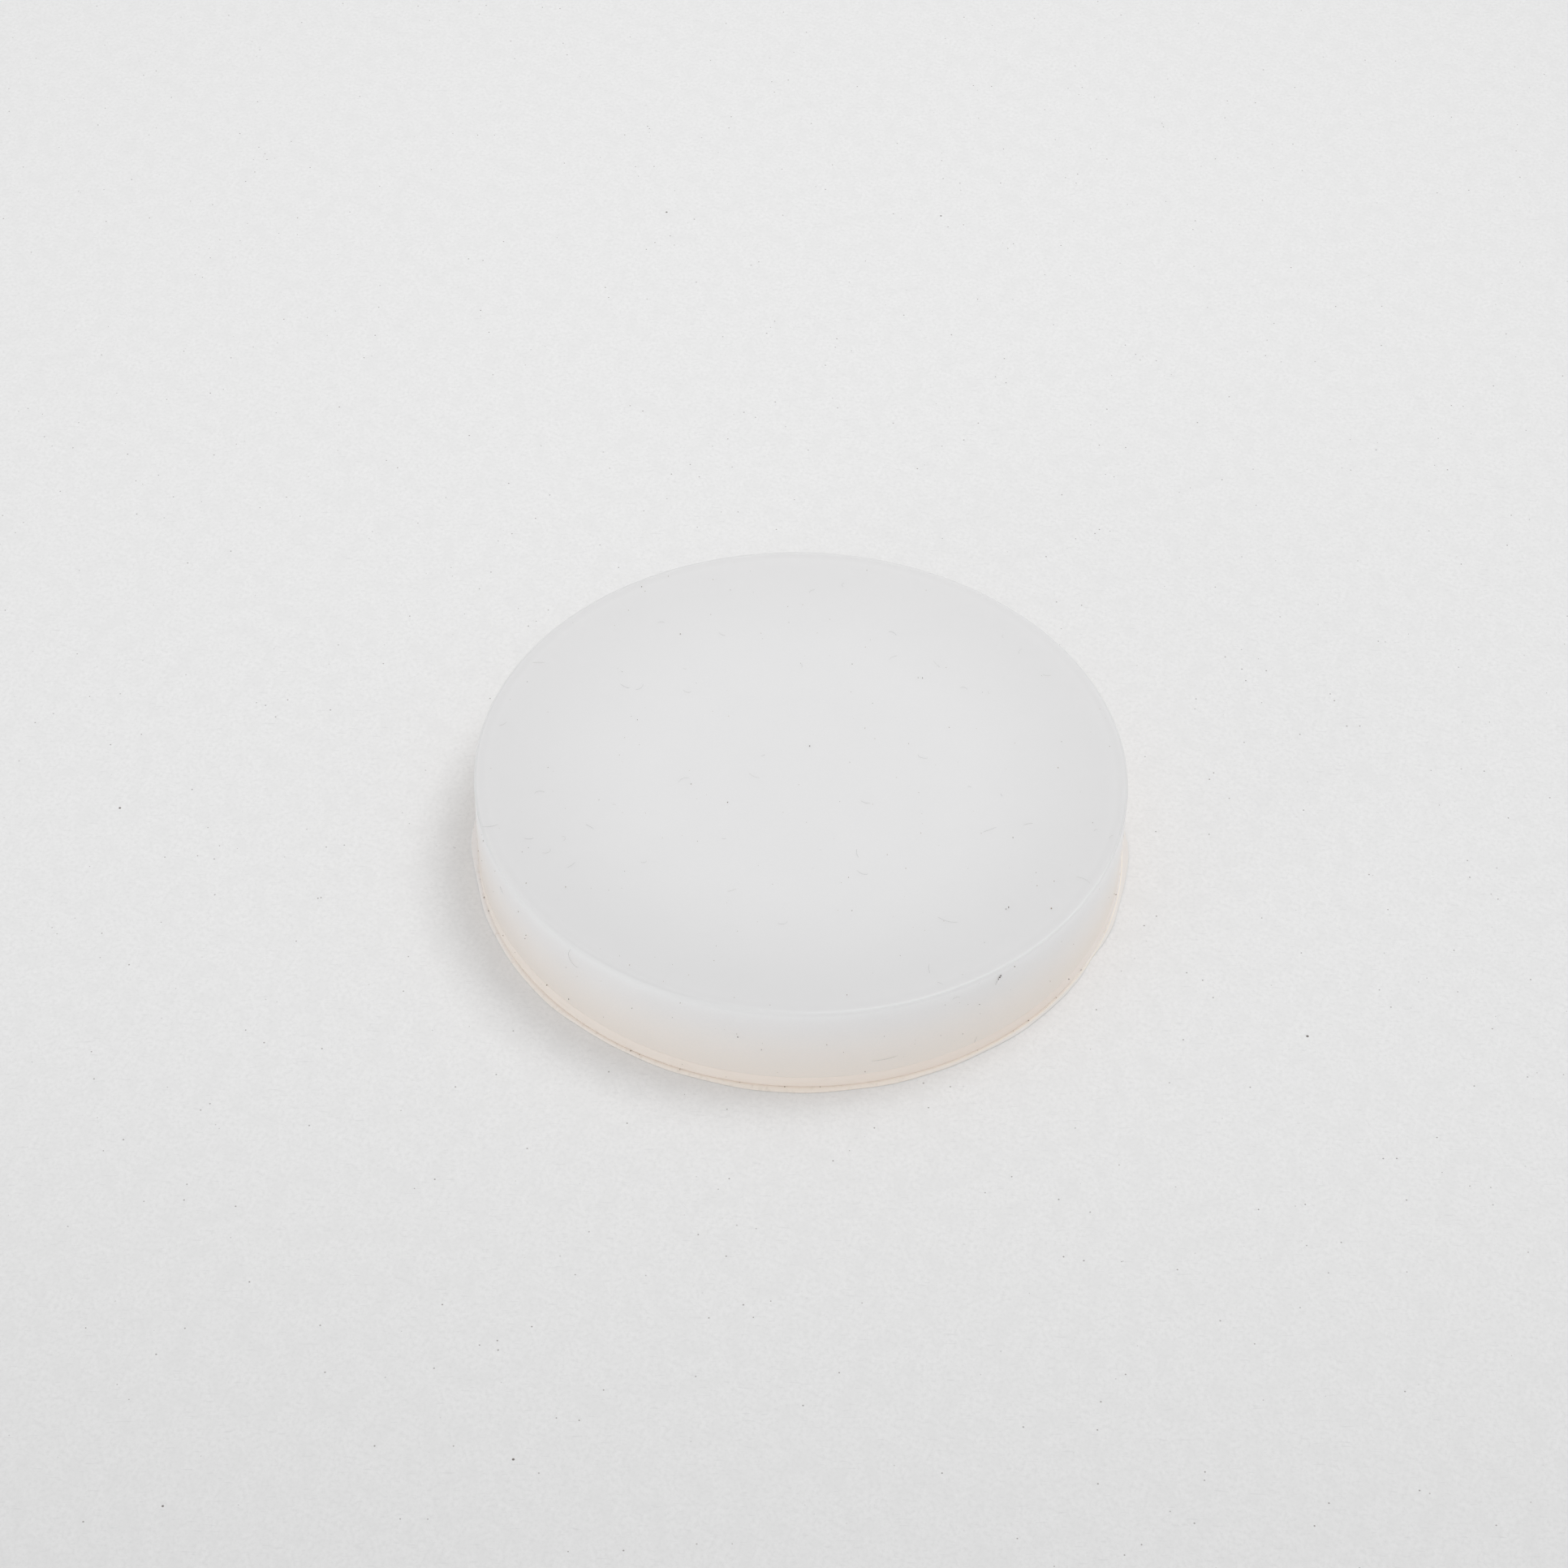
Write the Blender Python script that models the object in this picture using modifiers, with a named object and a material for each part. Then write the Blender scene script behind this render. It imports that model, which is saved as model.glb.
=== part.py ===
"""Dealer button: a plain round puck of milky silicone, bonded to a thin base film.

Frame: the origin is the centre of the underside, and +Z points up through the top face.
Units are metres. The three pieces are stacked from the table up:

    base_film      a thin sheet with an uneven, hand-trimmed edge that stands proud of the wall
    bonding_layer  the layer of adhesive that holds the film on, flush with the wall
    puck_body      the thick, solid disc, flat on both faces
"""
import math

import bpy

# Driving dimensions
DIAMETER = 0.0508
TOTAL_HEIGHT = 0.00845
FILM_THICKNESS = 0.00020
BOND_THICKNESS = 0.00075
JOINT_GAP = 0.0003
TOP_EDGE_RADIUS = 0.00025
LOWER_EDGE_RADIUS = 0.00010
FILM_PROUD = 0.00034

# Heights worked out from the driving dimensions
RADIUS = DIAMETER / 2
BOND_BOTTOM = FILM_THICKNESS + JOINT_GAP
BOND_TOP = BOND_BOTTOM + BOND_THICKNESS
PUCK_BOTTOM = BOND_TOP + JOINT_GAP

# Fineness of the meshes
TURNED_STEPS = 128
CORNER_STEPS = 4
FILM_OUTLINE_POINTS = 240
MERGE_DISTANCE = 0.00001

# The film's edge wanders: (waves around the edge, height in metres, phase in degrees)
FILM_EDGE_WAVES = (
    (7, 0.00003, 20),
    (16, 0.00003, 130),
    (29, 0.00002, 75),
)
# Where it was trimmed long or short: (angle in degrees, half width in degrees, height in metres)
FILM_EDGE_TRIMS = (
    (0, 11, 0.00034),
    (60, 8, 0.00010),
    (118, 5, -0.00014),
    (181, 6, 0.00034),
    (240, 12, -0.00006),
    (280, 25, 0.00009),
    (333, 3, -0.00020),
    (342, 4, 0.00018),
)

# Linear colour, roughness
MILKY_SILICONE = ((0.76, 0.76, 0.75), 0.42)
BONDING_SILICONE = ((0.72, 0.65, 0.59), 0.35)
FILM_PLASTIC = ((0.68, 0.62, 0.56), 0.30)


def clear_scene():
    """Remove every object that the scene starts with."""
    for scene_object in list(bpy.data.objects):
        bpy.data.objects.remove(scene_object, do_unlink=True)


def new_collection(name):
    """Make a collection and link it to the scene."""
    collection = bpy.data.collections.new(name)
    bpy.context.scene.collection.children.link(collection)
    return collection


def new_material(name, colour, roughness):
    """Make a non-metallic Principled material."""
    material = bpy.data.materials.new(name)
    material.use_nodes = True
    shader = material.node_tree.nodes["Principled BSDF"]
    shader.inputs["Base Color"].default_value = (*colour, 1.0)
    shader.inputs["Roughness"].default_value = roughness
    shader.inputs["Metallic"].default_value = 0.0
    return material


def quarter_turn(centre_x, centre_z, radius, start_degrees):
    """Points of a clockwise quarter circle in the XZ plane."""
    points = []
    for step in range(CORNER_STEPS + 1):
        angle = math.radians(start_degrees - 90 * step / CORNER_STEPS)
        points.append((centre_x + radius * math.cos(angle), centre_z + radius * math.sin(angle)))
    return points


def disc_profile(radius, bottom, top, upper_corner, lower_corner):
    """Half section of a disc with rounded corners, from the axis at the top to the axis below."""
    profile = [(0.0, top)]
    profile += quarter_turn(radius - upper_corner, top - upper_corner, upper_corner, 90)
    profile += quarter_turn(radius - lower_corner, bottom + lower_corner, lower_corner, 0)
    profile.append((0.0, bottom))
    return profile


def turned_disc(name, profile, material, collection):
    """Turn a half section about Z with a Screw modifier."""
    mesh = bpy.data.meshes.new(name)
    vertices = [(x, 0.0, z) for x, z in profile]
    edges = [(index, index + 1) for index in range(len(profile) - 1)]
    mesh.from_pydata(vertices, edges, [])
    mesh.materials.append(material)
    disc = bpy.data.objects.new(name, mesh)
    collection.objects.link(disc)

    screw = disc.modifiers.new("Turn", "SCREW")
    screw.axis = "Z"
    screw.angle = 2 * math.pi
    screw.steps = TURNED_STEPS
    screw.render_steps = TURNED_STEPS
    screw.use_merge_vertices = True
    screw.merge_threshold = MERGE_DISTANCE
    screw.use_smooth_shade = True
    return disc


def film_edge_radius(angle):
    """Radius of the film's uneven edge at an angle in degrees."""
    radius = RADIUS + FILM_PROUD
    for waves, height, phase in FILM_EDGE_WAVES:
        radius += height * math.sin(math.radians(waves * angle + phase))
    for centre, half_width, height in FILM_EDGE_TRIMS:
        offset = (angle - centre + 180) % 360 - 180
        radius += height * math.exp(-(offset / half_width) ** 2)
    return radius


def trimmed_film(name, material, collection):
    """Make the film as a filled 2D outline with a thickness."""
    curve = bpy.data.curves.new(name, "CURVE")
    curve.dimensions = "2D"
    curve.fill_mode = "BOTH"
    curve.extrude = FILM_THICKNESS / 2
    outline = curve.splines.new("POLY")
    outline.points.add(FILM_OUTLINE_POINTS - 1)
    outline.use_cyclic_u = True
    for index, point in enumerate(outline.points):
        angle = 360 * index / FILM_OUTLINE_POINTS
        radius = film_edge_radius(angle)
        direction = math.radians(angle)
        point.co = (radius * math.cos(direction), radius * math.sin(direction), 0.0, 1.0)
    curve.materials.append(material)
    film = bpy.data.objects.new(name, curve)
    film.location.z = FILM_THICKNESS / 2
    collection.objects.link(film)
    return film


def build_button():
    """Stack the film, the bonding layer and the puck."""
    button = new_collection("dealer_button")
    silicone = new_material("milky_silicone", *MILKY_SILICONE)
    bond = new_material("bonding_silicone", *BONDING_SILICONE)
    film = new_material("base_film", *FILM_PLASTIC)

    trimmed_film("base_film", film, button)

    bond_profile = disc_profile(
        RADIUS, BOND_BOTTOM, BOND_TOP, LOWER_EDGE_RADIUS, LOWER_EDGE_RADIUS
    )
    turned_disc("bonding_layer", bond_profile, bond, button)

    puck_profile = disc_profile(
        RADIUS, PUCK_BOTTOM, TOTAL_HEIGHT, TOP_EDGE_RADIUS, LOWER_EDGE_RADIUS
    )
    turned_disc("puck_body", puck_profile, silicone, button)


def main():
    clear_scene()
    build_button()


main()
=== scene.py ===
"""Looks of the plain milky dealer button: three pieces in fine geometry, with lint and dust on them.

Everything is in metres, in the CAD frame: the origin is the centre of the underside, +Z is up.
"""

import math
import random

import bmesh
import bpy
from mathutils import Matrix, Vector, noise


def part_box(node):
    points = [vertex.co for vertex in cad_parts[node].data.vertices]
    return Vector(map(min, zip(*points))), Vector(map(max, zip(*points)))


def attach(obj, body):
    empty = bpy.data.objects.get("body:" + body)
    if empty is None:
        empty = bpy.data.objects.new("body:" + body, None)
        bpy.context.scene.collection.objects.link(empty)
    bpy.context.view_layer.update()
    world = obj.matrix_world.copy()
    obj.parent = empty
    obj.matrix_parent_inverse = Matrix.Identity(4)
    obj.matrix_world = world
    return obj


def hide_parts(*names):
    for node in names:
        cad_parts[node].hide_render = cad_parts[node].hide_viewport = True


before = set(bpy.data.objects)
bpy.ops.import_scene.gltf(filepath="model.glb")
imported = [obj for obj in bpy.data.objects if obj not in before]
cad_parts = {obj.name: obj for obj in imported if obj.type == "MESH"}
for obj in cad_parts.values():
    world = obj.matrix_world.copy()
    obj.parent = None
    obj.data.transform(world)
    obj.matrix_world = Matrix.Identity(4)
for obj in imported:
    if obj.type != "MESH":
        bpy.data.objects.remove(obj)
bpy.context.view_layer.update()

# ---------------------------------------------------------------- sizes, from the CAD frame
MM = 0.001
puck_low, puck_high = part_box("puck_body")
bond_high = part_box("bonding_layer")[1]
film_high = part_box("base_film")[1]
RADIUS = (puck_high.x - puck_low.x) / 2
TOP = puck_high.z
PUCK_FOOT = puck_low.z
SEAM = bond_high.z
FILM_TOP = film_high.z

# How finely the bodies are turned
TURN_STEPS = 512
CORNER_STEPS = 8
FACE_RINGS = 14
WALL_ROWS = 14
BOND_RINGS = 6
BOND_ROWS = 6
LIP_STEPS = 16
SUPPORT = 0.04 * MM
SHARP_DEGREES = 50

# The puck: a crisp top edge that gets wider at the front left, and slightly uneven faces and wall
TOP_CORNER = 0.10 * MM
WIDE_CORNER = 0.42 * MM
TOP_CORNER_WANDER = 0.02 * MM
PUCK_WANDER = 0.008 * MM
FACE_UNEVENNESS = 0.012 * MM
FACE_WAVE = 9 * MM
WALL_UNEVENNESS = 0.006 * MM
WALL_WAVE = 3 * MM

# The seam between the puck and the bonding layer
SEAM_CORNER = 0.008 * MM
SEAM_GAP = 0.004 * MM
SEAM_RISE = 0.25 * MM
SEAM_WANDER = 0.02 * MM

# The bonding layer
BOND_WANDER = 0.012 * MM
BOND_LOWER_CORNER = 0.03 * MM
BOND_WIDE_CORNER = 0.12 * MM
BOND_CORNER_WANDER = 0.01 * MM
CREASE_GAP = 0.005 * MM

# The film: how far its edge is trimmed inside the CAD outline, how ragged it is, its curls and fold
FILM_FLAT_WITHIN = 1.5 * MM
LIP_UNDER_WALL = 0.15 * MM
FILM_CORNER = 0.05 * MM
FILM_TRIM = 0.03 * MM
FILM_RAGGED = 0.015 * MM
FILM_FRAYED = 0.008 * MM
FILM_THINNED = 0.5
RIGHT_CURL = 0.06 * MM
TRIMMED_CURL = 0.04 * MM
EVEN_CURL = 0.01 * MM
RIDGE_OUT = 0.15 * MM
RIDGE_HALF_WIDTH = 0.04 * MM
RIDGE_HEIGHT = 0.05 * MM
RIDGE_WANDER = 0.012 * MM

# The floor lies just below the film, so that it doesn't coincide with the film's underside
FLOOR_SIZE = 6.0
FLOOR_DROP = 0.005 * MM

# Lint and dust: seeds, counts, and how far above or into the surface they lie
LINT_SEED = 7
LINT_SCATTERED = 46
LINT_WALL_SHARE = 0.25
LINT_RADIUS = 0.007 * MM
LINT_STEPS = 9
PLACED_HAIR_LIFT = 0.02 * MM
LOOSE_HAIR_LIFT = 0.012 * MM
DUST_SEED = 11
DUST_SCATTERED = 230
DUST_WALL_SHARE = 0.45
DUST_COARSE_SHARE = 0.08
DUST_COARSE_SCALE = 1.6
DUST_LIFT = 0.2
DUST_AT_FOOT = 26

# Light, in metres, watts and degrees. Azimuth is counted from +X towards +Y.
WORLD_STRENGTH = 0.705
# The key is aimed past the button, so that the paper darkens towards the front
KEY = {
    "azimuth": 33,
    "elevation": 69,
    "distance": 0.39,
    "size": 0.20,
    "watts": 0.165,
    "target": (-0.10, 0.08, 0),
    "spread": 113,
}
REFLECTOR = {
    "azimuth": 222,
    "elevation": 10,
    "distance": 0.9,
    "size": 0.30,
    "watts": 0.60,
    "target": (0, 0, 0),
    "spread": 180,
}

# Camera: looks at the origin from the front, then is turned, tilted and rolled a little
LENS_MM = 85.0
SENSOR_MM = 36.0
CLIP_START = 0.01
CLIP_END = 20.0
CAMERA_DISTANCE = 11.569 * RADIUS
CAMERA_ELEVATION = math.radians(45.95)
CAMERA_TURN_LEFT = math.radians(0.26)
CAMERA_TILT_UP = math.radians(0.9174)
CAMERA_ROLL = math.radians(1.36)


def make_camera():
    data = bpy.data.cameras.new("camera")
    data.lens = LENS_MM
    data.sensor_width = SENSOR_MM
    data.clip_start = CLIP_START
    data.clip_end = CLIP_END
    camera = bpy.data.objects.new("camera", data)
    bpy.context.scene.collection.objects.link(camera)
    place = Vector((0, -math.cos(CAMERA_ELEVATION), math.sin(CAMERA_ELEVATION))) * CAMERA_DISTANCE
    aim = (-place).to_track_quat("-Z", "Y").to_matrix()
    turn = Matrix.Rotation(CAMERA_TURN_LEFT, 3, "Y")
    tilt = Matrix.Rotation(CAMERA_TILT_UP, 3, "X")
    roll = Matrix.Rotation(CAMERA_ROLL, 3, "Z")
    camera.matrix_world = Matrix.Translation(place) @ (aim @ turn @ tilt @ roll).to_4x4()
    bpy.context.scene.camera = camera


# ---------------------------------------------------------------- bodies of revolution
def corner(centre_x, centre_z, radius, start_degrees):
    """Points of a clockwise quarter circle in a half section."""
    points = []
    for step in range(CORNER_STEPS + 1):
        angle = math.radians(start_degrees - 90 * step / CORNER_STEPS)
        points.append((centre_x + radius * math.cos(angle), centre_z + radius * math.sin(angle)))
    return points


def stretch(start, end, steps):
    """Points inside a straight run, with a support point close to each end."""
    length = math.dist(start, end)
    shares = [SUPPORT / length] + [step / steps for step in range(1, steps)] + [1 - SUPPORT / length]
    return [tuple(a + (b - a) * share for a, b in zip(start, end)) for share in shares]


def disc_section(radius, bottom, top, upper_corner, lower_corner, rings, rows):
    """Half section of a round-cornered disc, from the axis above to the axis below."""
    upper = corner(radius - upper_corner, top - upper_corner, upper_corner, 90)
    lower = corner(radius - lower_corner, bottom + lower_corner, lower_corner, 0)
    section = [(0.0, top)]
    section += stretch(section[0], upper[0], rings)
    section += upper
    section += stretch(upper[-1], lower[0], rows)
    section += lower
    section += stretch(lower[-1], (0.0, bottom), rings)
    section.append((0.0, bottom))
    return section


def turned_piece(name, section_at, material):
    """Loft the half sections that section_at gives for each angle into one closed body."""
    body = bmesh.new()
    crown = body.verts.new((0, 0, section_at(0.0)[0][1]))
    root = body.verts.new((0, 0, section_at(0.0)[-1][1]))
    columns = []
    for step in range(TURN_STEPS):
        angle = 2 * math.pi * step / TURN_STEPS
        x, y = math.cos(angle), math.sin(angle)
        columns.append([body.verts.new((r * x, r * y, z)) for r, z in section_at(angle)[1:-1]])
    for column, neighbour in zip(columns, columns[1:] + columns[:1]):
        body.faces.new((crown, column[0], neighbour[0]))
        body.faces.new((root, neighbour[-1], column[-1]))
        for row in range(len(column) - 1):
            body.faces.new((column[row], column[row + 1], neighbour[row + 1], neighbour[row]))
    return link_body(name, body, material)


def link_body(name, body, material):
    mesh = bpy.data.meshes.new(name)
    body.to_mesh(mesh)
    body.free()
    mesh.materials.append(material)
    mesh.shade_smooth()
    mesh.set_sharp_from_angle(angle=math.radians(SHARP_DEGREES))
    piece = bpy.data.objects.new(name, mesh)
    bpy.context.scene.collection.objects.link(piece)
    return piece


def wander(angle, waves, seed):
    """Smooth noise from -1 to 1 that closes on itself round the disc."""
    return noise.noise(Vector((math.cos(angle) * waves, math.sin(angle) * waves, seed)))


def bump(angle, centre_degrees, half_width_degrees):
    """1 at the centre, fading to 0 on both sides."""
    offset = (math.degrees(angle) - centre_degrees + 180) % 360 - 180
    return math.exp(-((offset / half_width_degrees) ** 2))


# ---------------------------------------------------------------- materials
class Shading:
    """A Principled material, with short calls for the nodes that feed it."""

    def __init__(self, name, roughness, ior=1.45):
        self.material = bpy.data.materials.new(name)
        self.material.use_nodes = True
        self.nodes = self.material.node_tree.nodes
        self.links = self.material.node_tree.links
        self.shader = self.nodes["Principled BSDF"]
        self.shader.inputs["Roughness"].default_value = roughness
        self.shader.inputs["IOR"].default_value = ior
        self.place = self.nodes.new("ShaderNodeTexCoord").outputs["Object"]

    def set(self, socket, value):
        """Feed a socket of the node or the shader from an output or a constant."""
        if isinstance(value, bpy.types.NodeSocket):
            self.links.new(value, socket)
        elif hasattr(value, "__len__") and len(value) == 3 and socket.type == "RGBA":
            socket.default_value = (*value, 1)
        else:
            socket.default_value = value

    def feed(self, name, value):
        self.set(self.shader.inputs[name], value)

    def noise(self, size, detail=4.0, scale=(1, 1, 1), turn=0.0, rough=0.5):
        """Cloudy noise whose lumps are about size metres across, from 0 to 1."""
        mapping = self.nodes.new("ShaderNodeMapping")
        mapping.inputs["Scale"].default_value = scale
        mapping.inputs["Rotation"].default_value = (0, 0, turn)
        self.links.new(self.place, mapping.inputs["Vector"])
        texture = self.nodes.new("ShaderNodeTexNoise")
        texture.inputs["Scale"].default_value = 1 / size
        texture.inputs["Detail"].default_value = detail
        texture.inputs["Roughness"].default_value = rough
        self.links.new(mapping.outputs["Vector"], texture.inputs["Vector"])
        return texture.outputs["Fac"]

    def specks(self, spacing, radius, softness):
        """1 inside small spots scattered at about the spacing, 0 outside."""
        texture = self.nodes.new("ShaderNodeTexVoronoi")
        texture.inputs["Scale"].default_value = 1 / spacing
        self.links.new(self.place, texture.inputs["Vector"])
        share = radius / spacing
        return self.remap(texture.outputs["Distance"], share, share * (1 + softness), 1, 0)

    def remap(self, value, low, high, to_low, to_high, curve="SMOOTHSTEP"):
        """Stretch the range from low to high onto to_low to to_high, clamped at both ends."""
        node = self.nodes.new("ShaderNodeMapRange")
        node.interpolation_type = curve
        self.set(node.inputs["Value"], value)
        node.inputs["From Min"].default_value = low
        node.inputs["From Max"].default_value = high
        node.inputs["To Min"].default_value = to_low
        node.inputs["To Max"].default_value = to_high
        return node.outputs["Result"]

    def times(self, a, b):
        node = self.nodes.new("ShaderNodeMath")
        node.operation = "MULTIPLY"
        self.set(node.inputs[0], a)
        self.set(node.inputs[1], b)
        return node.outputs["Value"]

    def mix(self, share, a, b, blend="MIX"):
        """Blend two colours: a where share is 0, b where it is 1."""
        node = self.nodes.new("ShaderNodeMix")
        node.data_type = "RGBA"
        node.blend_type = blend
        factor, colour_a, colour_b = (node.inputs[index] for index in (0, 6, 7))
        self.set(factor, share)
        self.set(colour_a, a)
        self.set(colour_b, b)
        return node.outputs[2]

    def coordinate(self, axis):
        """X, Y or Z in metres."""
        node = self.nodes.new("ShaderNodeSeparateXYZ")
        self.links.new(self.place, node.inputs["Vector"])
        return node.outputs[axis]

    def height(self):
        return self.coordinate("Z")

    def across(self):
        """0 at the -X side of the button, 1 at its +X side."""
        return self.remap(self.coordinate("X"), -RADIUS, RADIUS, 0, 1, "LINEAR")

    def back(self):
        """0 at the -Y side of the button, 1 at its +Y side."""
        return self.remap(self.coordinate("Y"), -RADIUS, RADIUS, 0, 1, "LINEAR")

    def along(self, direction):
        """Distance from the origin along a direction."""
        node = self.nodes.new("ShaderNodeVectorMath")
        node.operation = "DOT_PRODUCT"
        node.inputs[1].default_value = direction
        self.links.new(self.place, node.inputs[0])
        return node.outputs["Value"]

    def reach(self):
        """Distance from the vertical axis."""
        flat = self.nodes.new("ShaderNodeVectorMath")
        flat.operation = "MULTIPLY"
        flat.inputs[1].default_value = (1, 1, 0)
        self.links.new(self.place, flat.inputs[0])
        length = self.nodes.new("ShaderNodeVectorMath")
        length.operation = "LENGTH"
        self.links.new(flat.outputs["Vector"], length.inputs[0])
        return length.outputs["Value"]

    def ramp(self, value, stops):
        """Colour ramp with stops of (position, colour)."""
        node = self.nodes.new("ShaderNodeValToRGB")
        elements = node.color_ramp.elements
        while len(elements) < len(stops):
            elements.new(1.0)
        for element, (position, colour) in zip(elements, stops):
            element.position = position
            element.color = (*colour, 1)
        self.set(node.inputs["Fac"], value)
        return node.outputs["Color"]

    def rubbed(self, size, detail, low, high):
        """Roughness from low to high, in patches about size metres across."""
        self.feed("Roughness", self.remap(self.noise(size, detail), 0.3, 0.7, low, high))

    def relief(self, value, depth, strength=1.0):
        """Bump of the given depth in metres."""
        node = self.nodes.new("ShaderNodeBump")
        node.inputs["Strength"].default_value = strength
        node.inputs["Distance"].default_value = depth
        self.set(node.inputs["Height"], value)
        self.links.new(node.outputs["Normal"], self.shader.inputs["Normal"])

    def translucent(self, share, reach):
        """A share of the light enters and spreads by about reach metres, all colours alike."""
        self.feed("Subsurface Weight", share)
        self.feed("Subsurface Radius", (1, 1, 1))
        self.feed("Subsurface Scale", reach)


# Colours are linear. The top face is lightest in the middle, and its rim is darker at the front:
# painted shade of light that leaks out at the rim and falls off towards the front.
TOP_CENTRE = (0.842, 0.840, 0.842)
TOP_RIM_FRONT_SHADE = (0.779, 0.776, 0.777)
TOP_RIM_BACK_SHADE = (0.808, 0.805, 0.806)
# Painted shade on the last millimetre before the edge, and on the round of the edge at the far side,
# dimming the glow and highlight of the edge there
TOP_EDGE_SHADE = (0.738, 0.735, 0.736)
FAR_EDGE_SHADE = (0.66, 0.66, 0.66)
# Faint clouds and mottling in the silicone
CLOUD = (0.74, 0.745, 0.75)
# Painted shade on the wall: it warms towards the foot, where the light has crossed more silicone,
# and its top is darker, dimming the glow of the top edge
WALL_SHADE_BY_HEIGHT = (
    (0.00, (0.98, 0.905, 0.835)),
    (0.14, (0.975, 0.91, 0.85)),
    (0.30, (0.98, 0.92, 0.875)),
    (0.45, (0.98, 0.935, 0.90)),
    (0.70, (0.97, 0.95, 0.94)),
    (0.88, (0.96, 0.955, 0.955)),
    (0.93, (0.945, 0.945, 0.945)),
    (0.97, (0.865, 0.865, 0.865)),
    (1.00, (0.80, 0.80, 0.80)),
)
# Painted light and shade from -X to +X: the wall gets a little lighter towards the lit side at +X;
# the band and the film are painted lighter at -X, where light comes through the silicone, and darker
# and greyer towards +X
WALL_SHADE_ACROSS = (
    (0.00, (0.925, 0.925, 0.925)),
    (0.22, (0.94, 0.94, 0.94)),
    (0.50, (0.935, 0.935, 0.935)),
    (0.78, (0.94, 0.94, 0.94)),
    (0.92, (0.945, 0.945, 0.945)),
    (1.00, (0.955, 0.955, 0.955)),
)
BAND_SHADE_ACROSS = (
    (0.00, (1.0, 0.915, 0.845)),
    (0.50, (0.985, 0.885, 0.81)),
    (0.85, (0.95, 0.855, 0.785)),
    (1.00, (0.97, 0.90, 0.86)),
)
FILM_SHADE_ACROSS = (
    (0.00, (0.92, 0.90, 0.89)),
    (0.08, (0.97, 0.915, 0.86)),
    (0.50, (0.97, 0.895, 0.815)),
    (0.85, (0.91, 0.84, 0.77)),
    (0.95, (0.87, 0.845, 0.82)),
    (1.00, (0.84, 0.83, 0.825)),
)
# Painted shade on the film's outer rim at the right
FILM_RIM_SHADE = (0.82, 0.795, 0.77)
# Painted highlight on the film's fold at the right
FILM_RIDGE_HIGHLIGHT = (0.93, 0.88, 0.80)
FILM_GRIME = (0.74, 0.67, 0.59)
BAND_STREAK = (0.93, 0.83, 0.755)
GRIME = (0.45, 0.40, 0.34)
DUST_TONES = ((0.38, (0.11, 0.09, 0.075)), (0.60, (0.38, 0.30, 0.23)))
LINT_TONES = ((0.35, (0.34, 0.34, 0.35)), (0.65, (0.56, 0.55, 0.53)))
PAPER_TONES = (
    (0.32, (0.82, 0.82, 0.82)),
    (0.50, (0.873, 0.873, 0.873)),
    (0.68, (0.905, 0.905, 0.905)),
)
PAPER_CLOUD = (0.835, 0.835, 0.835)
PAPER_THREAD = (0.66, 0.66, 0.67)
PAPER_FLECK = (0.28, 0.26, 0.25)
PAPER_SPECK = (0.20, 0.18, 0.17)
# Painted shade: the paper darkens towards the front, where the light falls off
PAPER_FRONT_SHADE = (0.925, 0.925, 0.925)
# Threads run three ways: (turn in radians, scale along the thread)
PAPER_THREADS = ((0.35, 0.12), (-0.5, 0.15), (1.3, 0.15))


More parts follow.
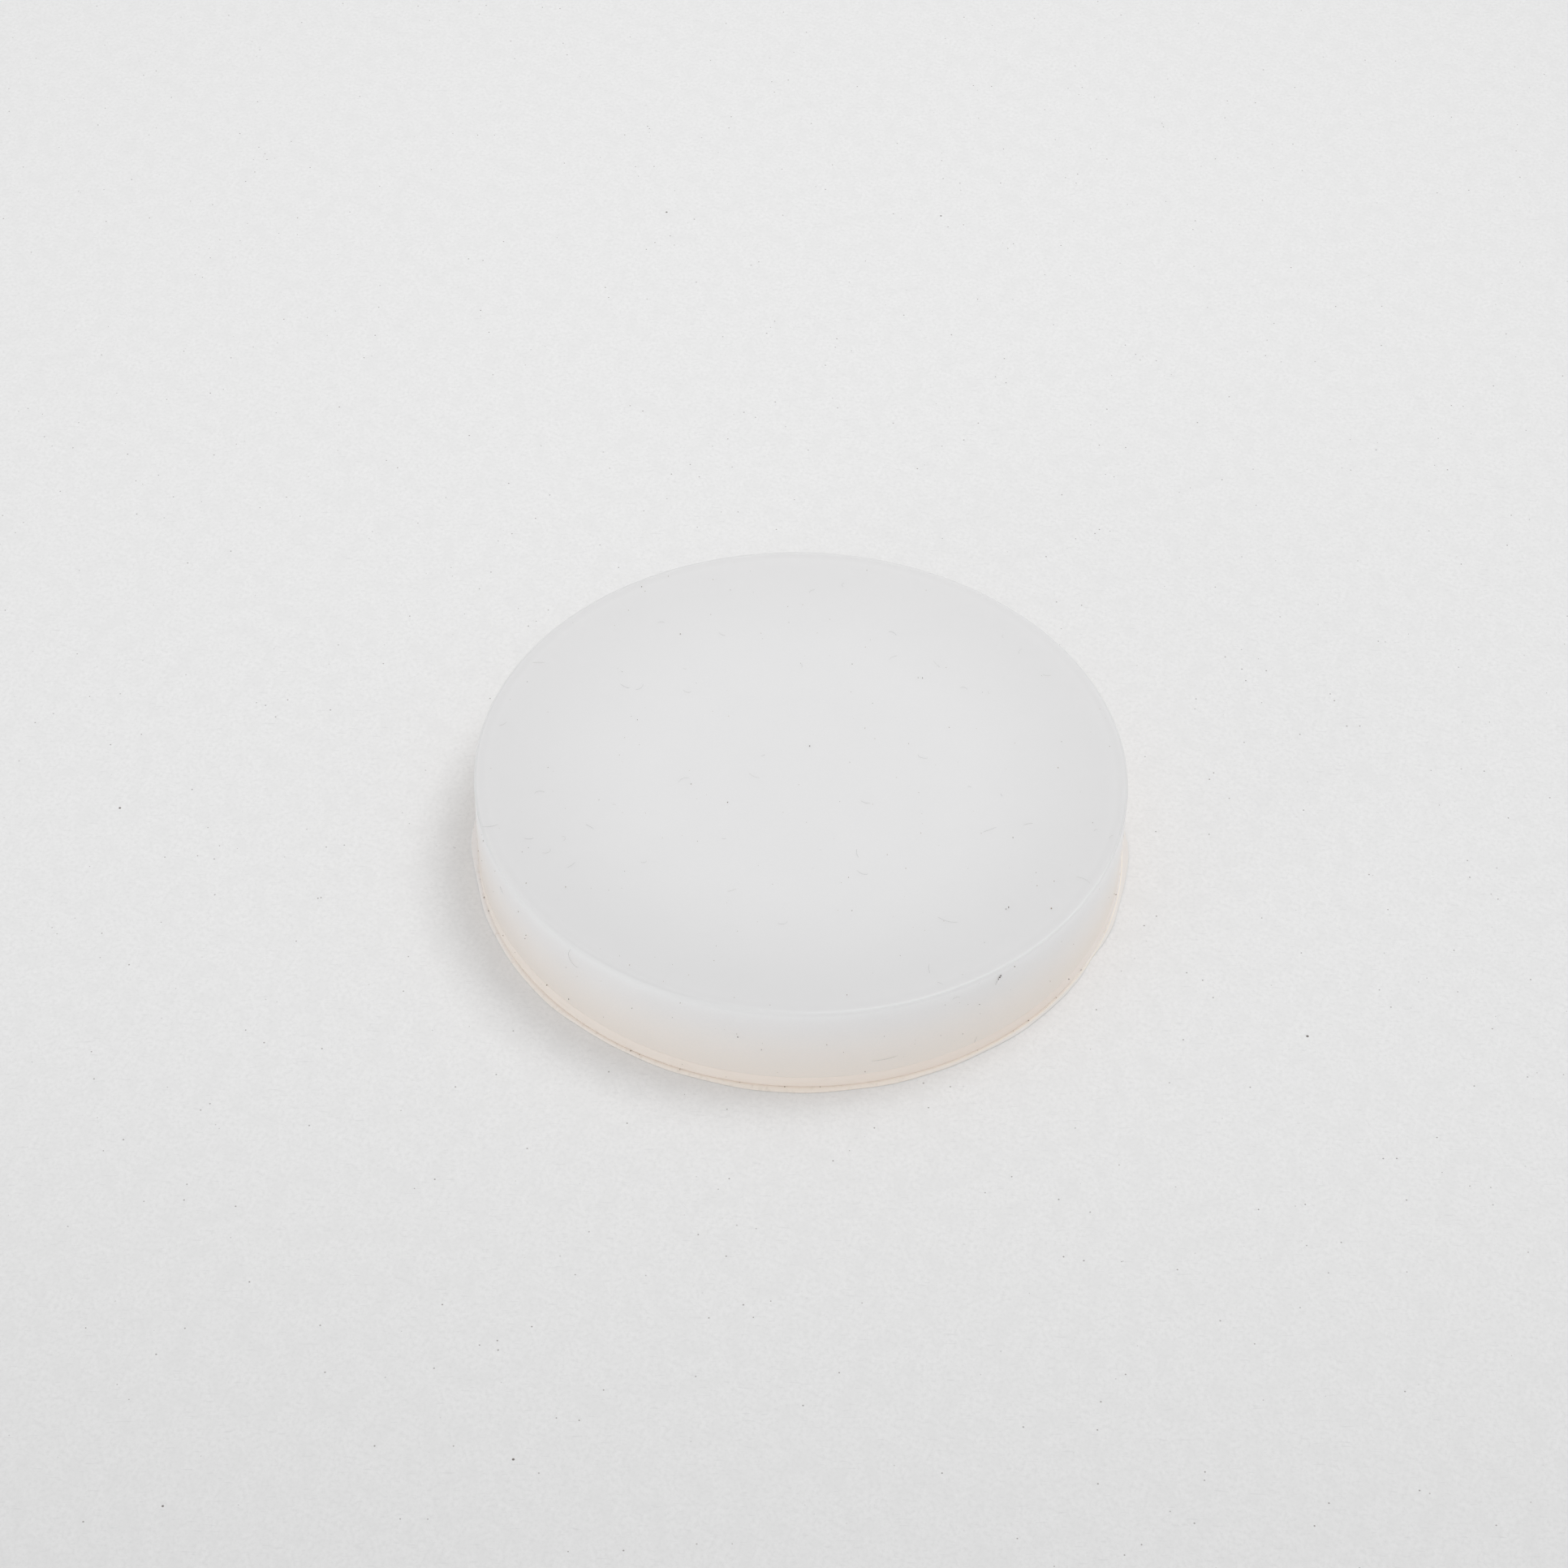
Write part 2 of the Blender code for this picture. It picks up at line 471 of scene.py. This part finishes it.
def silicone_material():
    """Milky silicone: a cool, faintly clouded top, a wall that warms downwards, and fine dust. The
    warm foot, the darker rim and edge of the top, and the wall's change from -X to +X are painted
    shade and light.
    """
    look = Shading("milky_silicone", 0.45, ior=1.41)
    # Painted shade and light on the wall: warmer towards the foot, darker at its very top, lighter
    # towards +X
    rise = look.remap(look.height(), PUCK_FOOT, TOP, 0, 1, "LINEAR")
    across = look.ramp(look.across(), WALL_SHADE_ACROSS)
    wall = look.mix(1.0, look.ramp(rise, WALL_SHADE_BY_HEIGHT), across, "MULTIPLY")
    # Painted shade: the top face's rim is darker than its middle, more so at the front
    outward = look.remap(look.reach(), 0.45 * RADIUS, RADIUS, 0, 1)
    face = look.mix(outward, TOP_CENTRE, look.mix(look.back(), TOP_RIM_FRONT_SHADE, TOP_RIM_BACK_SHADE))
    # Painted shade on the last millimetre of the top face, dimming the glow of the edge
    edge = look.remap(look.reach(), RADIUS - 1.0 * MM, RADIUS - 0.15 * MM, 0, 1, "LINEAR")
    face = look.mix(edge, face, TOP_EDGE_SHADE)
    on_face = look.remap(look.reach(), RADIUS - 0.26 * MM, RADIUS - 0.12 * MM, 1, 0)
    # Painted shade on the round of the top edge at the far side, dimming its highlight
    near_top = look.remap(look.height(), TOP - 0.30 * MM, TOP - 0.12 * MM, 0, 1)
    far_side = look.remap(look.back(), 0.22, 0.42, 0, 1)
    wall = look.mix(look.times(near_top, far_side), wall, FAR_EDGE_SHADE)
    body = look.mix(on_face, wall, face)
    clouds = look.remap(look.noise(5 * MM, 3), 0.35, 0.7, 0, 0.06)
    body = look.mix(clouds, body, CLOUD)
    mottle = look.remap(look.noise(0.15 * MM, 2), 0.3, 0.7, 0, 0.10)
    body = look.mix(mottle, body, CLOUD)
    clusters = look.remap(look.noise(2.5 * MM), 0.5, 0.62, 0, 0.5)
    grains = look.times(look.specks(0.9 * MM, 0.026 * MM, 0.6), clusters)
    look.feed("Base Color", look.mix(grains, body, GRIME))
    look.rubbed(1.2 * MM, 5, 0.40, 0.52)
    look.relief(look.noise(0.12 * MM, 3), 0.002 * MM)
    depth = look.remap(look.height(), PUCK_FOOT + 0.2 * MM, PUCK_FOOT + 2.2 * MM, 0, 1)
    look.translucent(depth, 1.0 * MM)
    return look.material


def bond_material():
    """Yellowed bonding silicone with faint streaks and grit. It is painted lighter at -X, where
    light comes through the silicone, and darker towards +X: painted light and shade.
    """
    look = Shading("bonding_silicone", 0.4, ior=1.41)
    streaks = look.remap(look.noise(1.5 * MM, 4, (1, 1, 3)), 0.45, 0.75, 0, 0.4)
    # Painted light and shade: the band is lighter at -X, where light comes through the silicone, and
    # darker towards +X
    body = look.mix(streaks, look.ramp(look.across(), BAND_SHADE_ACROSS), BAND_STREAK)
    look.feed("Base Color", look.mix(look.specks(0.7 * MM, 0.024 * MM, 0.6), body, GRIME))
    look.rubbed(0.8 * MM, 4, 0.34, 0.48)
    look.relief(look.noise(0.3 * MM, 3), 0.004 * MM)
    look.translucent(0.2, 0.1 * MM)
    return look.material


def film_material():
    """The film's edge: rubbed and a little grimy, with a fold at the right. Painted light and shade:
    lighter and warmer towards -X, darker and greyer at the right and on its outer rim there, and a
    painted highlight on the fold.
    """
    look = Shading("base_film", 0.38, ior=1.45)
    grime = look.remap(look.noise(0.35 * MM, 5), 0.50, 0.78, 0, 0.4)
    # Painted light and shade: the film is lighter and warmer towards -X, darker and greyer towards
    # +X
    body = look.mix(grime, look.ramp(look.across(), FILM_SHADE_ACROSS), FILM_GRIME)
    # Painted shade: the film's outer rim at the right is darker and greyer
    outer = look.remap(look.reach(), RADIUS + 0.12 * MM, RADIUS + 0.30 * MM, 0, 1)
    right = look.remap(look.across(), 0.6, 0.85, 0, 1)
    body = look.mix(look.times(outer, right), body, FILM_RIM_SHADE)
    # Painted highlight on the fold at the right, over a real ridge in the film
    fold = RADIUS + RIDGE_OUT
    inside = look.remap(look.reach(), fold - 0.06 * MM, fold - 0.03 * MM, 0, 1)
    outside = look.remap(look.reach(), fold + 0.03 * MM, fold + 0.06 * MM, 1, 0)
    fold_highlight = look.times(look.times(inside, outside), right)
    look.feed("Base Color", look.mix(fold_highlight, body, FILM_RIDGE_HIGHLIGHT))
    look.rubbed(0.5 * MM, 4, 0.3, 0.5)
    look.relief(look.noise(0.25 * MM, 4), 0.006 * MM)
    return look.material


def dust_material():
    """Grit, from nearly black to brown."""
    look = Shading("dust", 0.9)
    look.feed("Base Color", look.ramp(look.noise(1.5 * MM, 1), DUST_TONES))
    look.relief(look.noise(0.03 * MM, 3), 0.005 * MM)
    return look.material


def lint_material():
    """Grey textile hairs."""
    look = Shading("lint", 0.75)
    look.feed("Base Color", look.ramp(look.noise(3 * MM, 1), LINT_TONES))
    look.relief(look.noise(0.02 * MM, 2), 0.003 * MM)
    return look.material


def paper_material():
    """White paper: fine pulp, faint clouds and threads, dark flecks; darker towards the front,
    painted shade where the light falls off.
    """
    look = Shading("paper", 0.85)
    look.feed("Specular IOR Level", 0.2)
    pulp = look.noise(0.30 * MM, 5, (1, 0.8, 1), 0.4, 0.65)
    body = look.ramp(pulp, PAPER_TONES)
    clouds = look.remap(look.noise(1.5 * MM, 3, (1, 0.7, 1), 0.5), 0.4, 0.7, 0, 0.50)
    body = look.mix(clouds, body, PAPER_CLOUD)
    for turn, lengthwise in PAPER_THREADS:
        streaks = look.noise(0.20 * MM, 1, (lengthwise, 1, 1), turn)
        threads = look.remap(streaks, 0.70, 0.76, 0, 0.22)
        body = look.mix(threads, body, PAPER_THREAD)
    patches = look.remap(look.noise(4 * MM, 2), 0.45, 0.55, 0, 0.8)
    flecks = look.times(look.specks(1.2 * MM, 0.045 * MM, 0.8), patches)
    body = look.mix(flecks, body, PAPER_FLECK)
    body = look.mix(look.specks(9 * MM, 0.085 * MM, 0.5), body, PAPER_SPECK)
    # Painted shade: the paper darkens towards the front, where the light falls off
    front = look.remap(look.along((-0.15, -1, 0)), 15 * MM, 95 * MM, 0, 1)
    look.feed("Base Color", look.mix(front, body, PAPER_FRONT_SHADE, "MULTIPLY"))
    look.relief(pulp, 0.014 * MM, 0.5)
    return look.material


# ---------------------------------------------------------------- pieces
def belongs(piece, node=None):
    """The piece rides on the one body, and may stand for a CAD node, whose part it hides."""
    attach(piece, "root")
    if node:
        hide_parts(node)


def seam_height(angle):
    """The bonding layer is thicker at the front left, where it was laid on unevenly."""
    return SEAM + SEAM_RISE * bump(angle, 222, 30) + SEAM_WANDER * wander(angle, 3, 11)


def puck_edge_radius(angle):
    """Radius of the top edge's round."""
    return TOP_CORNER + WIDE_CORNER * bump(angle, 238, 30) + TOP_CORNER_WANDER * wander(angle, 4, 9)


def bond_edge_radius(angle):
    """Radius of the bonding layer's lower edge."""
    wide = BOND_WIDE_CORNER * bump(angle, 230, 40)
    return BOND_LOWER_CORNER + wide + BOND_CORNER_WANDER * wander(angle, 8, 4)


def make_puck():
    """The thick disc. Its face and wall are uneven by up to 0.03 mm, as a moulding's are."""

    def section_at(angle):
        radius = RADIUS - PUCK_WANDER + PUCK_WANDER * wander(angle, 2.5, 1)
        top_corner = puck_edge_radius(angle)
        section = disc_section(
            radius, seam_height(angle), TOP, top_corner, SEAM_CORNER, FACE_RINGS, WALL_ROWS
        )
        x, y = math.cos(angle), math.sin(angle)
        uneven = []
        for r, z in section:
            if z > TOP - top_corner:
                z += FACE_UNEVENNESS * (noise.noise(Vector((r * x, r * y, 0)) / FACE_WAVE) - 1)
            elif r > RADIUS / 2:
                r += WALL_UNEVENNESS * noise.noise(Vector((3 * x, 3 * y, z / WALL_WAVE)))
            uneven.append((r, z))
        return uneven

    belongs(turned_piece("puck", section_at, silicone_material()), "puck_body")


def make_bond():
    """The bonding layer fills the space from the film up to the puck, flush with the wall."""

    def section_at(angle):
        radius = RADIUS + BOND_WANDER * wander(angle, 5, 3)
        bottom, top = FILM_TOP + CREASE_GAP, seam_height(angle) - SEAM_GAP
        return disc_section(
            radius, bottom, top, SEAM_CORNER, bond_edge_radius(angle), BOND_RINGS, BOND_ROWS
        )

    belongs(turned_piece("bond", section_at, bond_material()), "bonding_layer")


def film_outline():
    """The CAD film's edge as a function of the angle, read from its mesh."""
    rim = sorted(
        (math.atan2(v.co.y, v.co.x) % (2 * math.pi), math.hypot(v.co.x, v.co.y))
        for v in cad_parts["base_film"].data.vertices
        if math.hypot(v.co.x, v.co.y) > RADIUS
    )
    rim = [(rim[-1][0] - 2 * math.pi, rim[-1][1])] + rim + [(rim[0][0] + 2 * math.pi, rim[0][1])]

    def radius_at(angle):
        for (a, r), (b, s) in zip(rim, rim[1:]):
            if a <= angle <= b and b > a:
                return r + (s - r) * (angle - a) / (b - a)
        return rim[0][1]

    return radius_at


def film_section(edge):
    """Half section of the film, with close points on the lip that stands proud."""
    lip_start = RADIUS - LIP_UNDER_WALL
    lip_end = edge - FILM_CORNER
    inner = RADIUS - FILM_FLAT_WITHIN
    section = [(0.0, FILM_TOP), (inner, FILM_TOP)]
    for step in range(LIP_STEPS):
        section.append((lip_start + (lip_end - lip_start) * step / LIP_STEPS, FILM_TOP))
    section += corner(lip_end, FILM_TOP - FILM_CORNER, FILM_CORNER, 90)
    section += corner(lip_end, FILM_CORNER, FILM_CORNER, 0)
    section += [(inner, 0.0), (0.0, 0.0)]
    return section


def make_film():
    """The thin film: a ragged edge that stands proud, curling up where it was trimmed long."""
    edge_at = film_outline()

    def section_at(angle):
        edge = edge_at(angle) - FILM_TRIM
        edge += FILM_RAGGED * wander(angle, 25, 5)
        edge += FILM_FRAYED * wander(angle, 80, 6)
        curl = RIGHT_CURL * bump(angle, 0, 12) + TRIMMED_CURL * bump(angle, 342, 5)
        curl += EVEN_CURL * (1 + wander(angle, 12, 7))
        ridge = RIDGE_HEIGHT * bump(angle, 322, 22) + RIDGE_WANDER * (1 + wander(angle, 10, 8))
        lifted = []
        for r, z in film_section(edge):
            outward = max(0.0, (r - RADIUS) / (edge - RADIUS))
            fold = math.exp(-(((r - RADIUS - RIDGE_OUT) / RIDGE_HALF_WIDTH) ** 2))
            feathered = z * (1 - FILM_THINNED * outward * outward)
            raised = feathered + curl * outward * outward + ridge * fold * z / FILM_TOP
            lifted.append((r, raised))
        return lifted

    belongs(turned_piece("film", section_at, film_material()), "base_film")


# ---------------------------------------------------------------- lint and dust
def on_top(x, y, lift):
    return Vector((x, y, TOP + lift))


def on_wall(along, height, lift):
    """along is measured round the wall from +X, in metres."""
    angle = along / RADIUS
    return Vector(((RADIUS + lift) * math.cos(angle), (RADIUS + lift) * math.sin(angle), height))


def round_the_wall(degrees):
    """Distance round the wall from +X, in metres."""
    return math.radians(degrees % 360) * RADIUS


# A place is x and y in mm on the top face, and an angle in degrees and a height in mm on the wall.
# Hairs that catch the eye: (surface, place, place, length in mm, heading in degrees, curl in turns)
HAIRS = (
    (on_top, -9.5, -2.0, 1.2, 70, -0.30),
    (on_top, -14.5, 9.0, 0.9, -50, 0.15),
    (on_top, -9.5, 8.5, 0.8, -60, 0.35),
    (on_top, -18.0, -8.5, 0.8, 40, 0.60),
    (on_top, -19.5, -9.8, 1.0, -10, 0.45),
    (on_top, -21.0, -8.3, 0.8, -20, 0.20),
    (on_top, -17.5, -11.3, 0.8, 40, 0.05),
    (on_top, -24.3, -7.2, 1.3, 0, 0.12),
    (on_top, -12.0, -10.5, 0.6, -30, 0.40),
    (on_top, 4.5, -9.5, 0.9, 110, -0.10),
    (on_top, 10.5, -15.5, 1.6, -35, 0.15),
    (on_top, 14.0, -6.5, 1.2, 25, 0.03),
    (on_top, -1.5, -16.5, 0.9, -20, 0.30),
    (on_top, 21.0, -11.0, 1.3, -10, -0.20),
    (on_wall, 228.7, 7.9, 2.4, -118, 0.48),
    (on_wall, 283, 2.6, 2.0, -5, 0.06),
    (on_wall, 297, 7.3, 0.7, 30, -0.30),
    (on_wall, 302, 1.3, 0.6, 75, -0.05),
    (on_wall, 207, 6.5, 0.6, -40, 0.10),
    (on_wall, 306, 7.3, 0.5, -125, 0.05),
    (on_wall, 305.8, 7.2, 0.4, -80, -0.20),
)
# Grains that catch the eye: (surface, place, place, diameter in mm)
GRAINS = (
    (on_top, -10.0, 15.0, 0.09),
    (on_top, 9.5, 10.5, 0.09),
    (on_top, -17.5, -13.3, 0.10),
    (on_top, -20.5, -13.0, 0.07),
    (on_top, 15.8, -14.3, 0.13),
    (on_top, 15.6, -14.5, 0.08),
    (on_top, 19.0, -14.3, 0.08),
    (on_top, 19.3, -11.5, 0.09),
    (on_top, 18.0, -12.0, 0.06),
    (on_top, 16.3, -7.0, 0.07),
    (on_top, 20.0, 0.7, 0.10),
    (on_top, -4.5, -24.0, 0.07),
    (on_wall, 306.5, 7.60, 0.17),
    (on_wall, 306.3, 7.45, 0.15),
    (on_wall, 306.1, 7.30, 0.10),
    (on_wall, 260.5, 5.3, 0.11),
    (on_wall, 264.5, 4.2, 0.09),
    (on_wall, 222.0, 1.5, 0.10),
    (on_wall, 207.0, 1.0, 0.09),
    (on_wall, 198.0, 7.6, 0.08),
    (on_wall, 214.0, 6.6, 0.08),
    (on_wall, 282.0, 1.5, 0.08),
    (on_wall, 325.0, 0.9, 0.09),
    (on_wall, 345.0, 2.0, 0.09),
    (on_wall, 347.0, 1.0, 0.08),
    (on_wall, 348.0, 0.6, 0.09),
)


def place_on(surface, first, second):
    """A listed place as the pair of metres that its surface takes."""
    if surface is on_wall:
        return round_the_wall(first), second * MM
    return first * MM, second * MM


def random_place(dice, wall_share):
    """A place spread evenly over the top face or the wall."""
    if dice.random() < wall_share:
        along = dice.uniform(0, 2 * math.pi) * RADIUS
        return on_wall, along, dice.uniform(0.5 * MM, TOP - 0.3 * MM)
    reach = math.sqrt(dice.random()) * (RADIUS - 0.6 * MM)
    angle = dice.uniform(0, 2 * math.pi)
    return on_top, reach * math.cos(angle), reach * math.sin(angle)


def add_hair(curve, surface, u, v, length, heading, curl, lift):
    """One curled hair that lies on a surface and is thinner at its ends."""
    hair = curve.splines.new("POLY")
    hair.points.add(LINT_STEPS)
    for index in range(LINT_STEPS + 1):
        hair.points[index].co = (*surface(u, v, lift), 1)
        hair.points[index].radius = 1.0 if 0 < index < LINT_STEPS else 0.5
        direction = heading + 2 * math.pi * curl * (index / LINT_STEPS) ** 1.5
        u += math.cos(direction) * length / LINT_STEPS
        v += math.sin(direction) * length / LINT_STEPS


def make_lint():
    """Short textile hairs that cling to the silicone."""
    dice = random.Random(LINT_SEED)
    curve = bpy.data.curves.new("lint", "CURVE")
    curve.dimensions = "3D"
    curve.bevel_depth = LINT_RADIUS
    curve.bevel_resolution = 1
    curve.use_fill_caps = True
    for surface, first, second, length, heading, curl in HAIRS:
        u, v = place_on(surface, first, second)
        add_hair(curve, surface, u, v, length * MM, math.radians(heading), curl, PLACED_HAIR_LIFT)
    for _ in range(LINT_SCATTERED):
        surface, u, v = random_place(dice, LINT_WALL_SHARE)
        length = dice.uniform(0.25, 1.0) * MM
        heading = dice.uniform(0, 2 * math.pi)
        curl = dice.uniform(-0.4, 0.4)
        add_hair(curve, surface, u, v, length, heading, curl, LOOSE_HAIR_LIFT)
    curve.materials.append(lint_material())
    lint = bpy.data.objects.new("lint", curve)
    bpy.context.scene.collection.objects.link(lint)
    belongs(lint)


def add_grain(body, dice, place, diameter):
    """One lumpy grain."""
    grain = bmesh.ops.create_icosphere(body, subdivisions=2, radius=diameter / 2)["verts"]
    squash = Vector([dice.uniform(0.5, 1.2) for _ in range(3)])
    seed = Vector([dice.uniform(0, 50) for _ in range(3)])
    for vertex in grain:
        lump = 1 + 0.9 * noise.noise(vertex.co / diameter * 2 + seed)
        vertex.co = place + vertex.co * squash * lump


def make_dust():
    """Grit on the top face, on the wall and trapped along the foot of the wall."""
    dice = random.Random(DUST_SEED)
    body = bmesh.new()
    for surface, first, second, diameter in GRAINS:
        u, v = place_on(surface, first, second)
        add_grain(body, dice, surface(u, v, diameter * DUST_LIFT * MM), diameter * MM)
    for _ in range(DUST_SCATTERED):
        surface, u, v = random_place(dice, DUST_WALL_SHARE)
        diameter = dice.uniform(0.03, 0.06) * MM
        if dice.random() < DUST_COARSE_SHARE:
            diameter *= DUST_COARSE_SCALE
        add_grain(body, dice, surface(u, v, diameter * DUST_LIFT), diameter)
    for _ in range(DUST_AT_FOOT):
        diameter = dice.uniform(0.04, 0.09) * MM
        along = dice.uniform(0, 2 * math.pi) * RADIUS
        add_grain(body, dice, on_wall(along, FILM_TOP + diameter * 0.4, diameter * 0.5), diameter)
    belongs(link_body("dust", body, dust_material()))


# ---------------------------------------------------------------- surroundings
def make_floor():
    bpy.ops.mesh.primitive_grid_add(x_subdivisions=2, y_subdivisions=2, size=FLOOR_SIZE)
    floor = bpy.context.active_object
    floor.name = "floor"
    floor.location.z = -FLOOR_DROP
    floor.data.materials.append(paper_material())


def soft_box(name, azimuth, elevation, distance, size, watts, target, spread):
    """A round soft box, aimed at a target."""
    data = bpy.data.lights.new(name, "AREA")
    data.shape = "DISK"
    data.size = size
    data.energy = watts
    data.spread = math.radians(spread)
    lamp = bpy.data.objects.new(name, data)
    bpy.context.scene.collection.objects.link(lamp)
    a, e = math.radians(azimuth), math.radians(elevation)
    place = Vector((math.cos(a) * math.cos(e), math.sin(a) * math.cos(e), math.sin(e))) * distance
    aim = Vector(target) - place
    lamp.matrix_world = Matrix.Translation(place) @ aim.to_track_quat("-Z", "Y").to_matrix().to_4x4()


def make_light():
    world = bpy.data.worlds.new("studio")
    bpy.context.scene.world = world
    world.use_nodes = True
    background = world.node_tree.nodes["Background"]
    background.inputs["Color"].default_value = (1, 1, 1, 1)
    background.inputs["Strength"].default_value = WORLD_STRENGTH
    soft_box("key", **KEY)
    soft_box("reflector", **REFLECTOR)
    bpy.context.scene.view_settings.view_transform = "Standard"


make_camera()
make_floor()
make_puck()
make_bond()
make_film()
make_lint()
make_dust()
make_light()
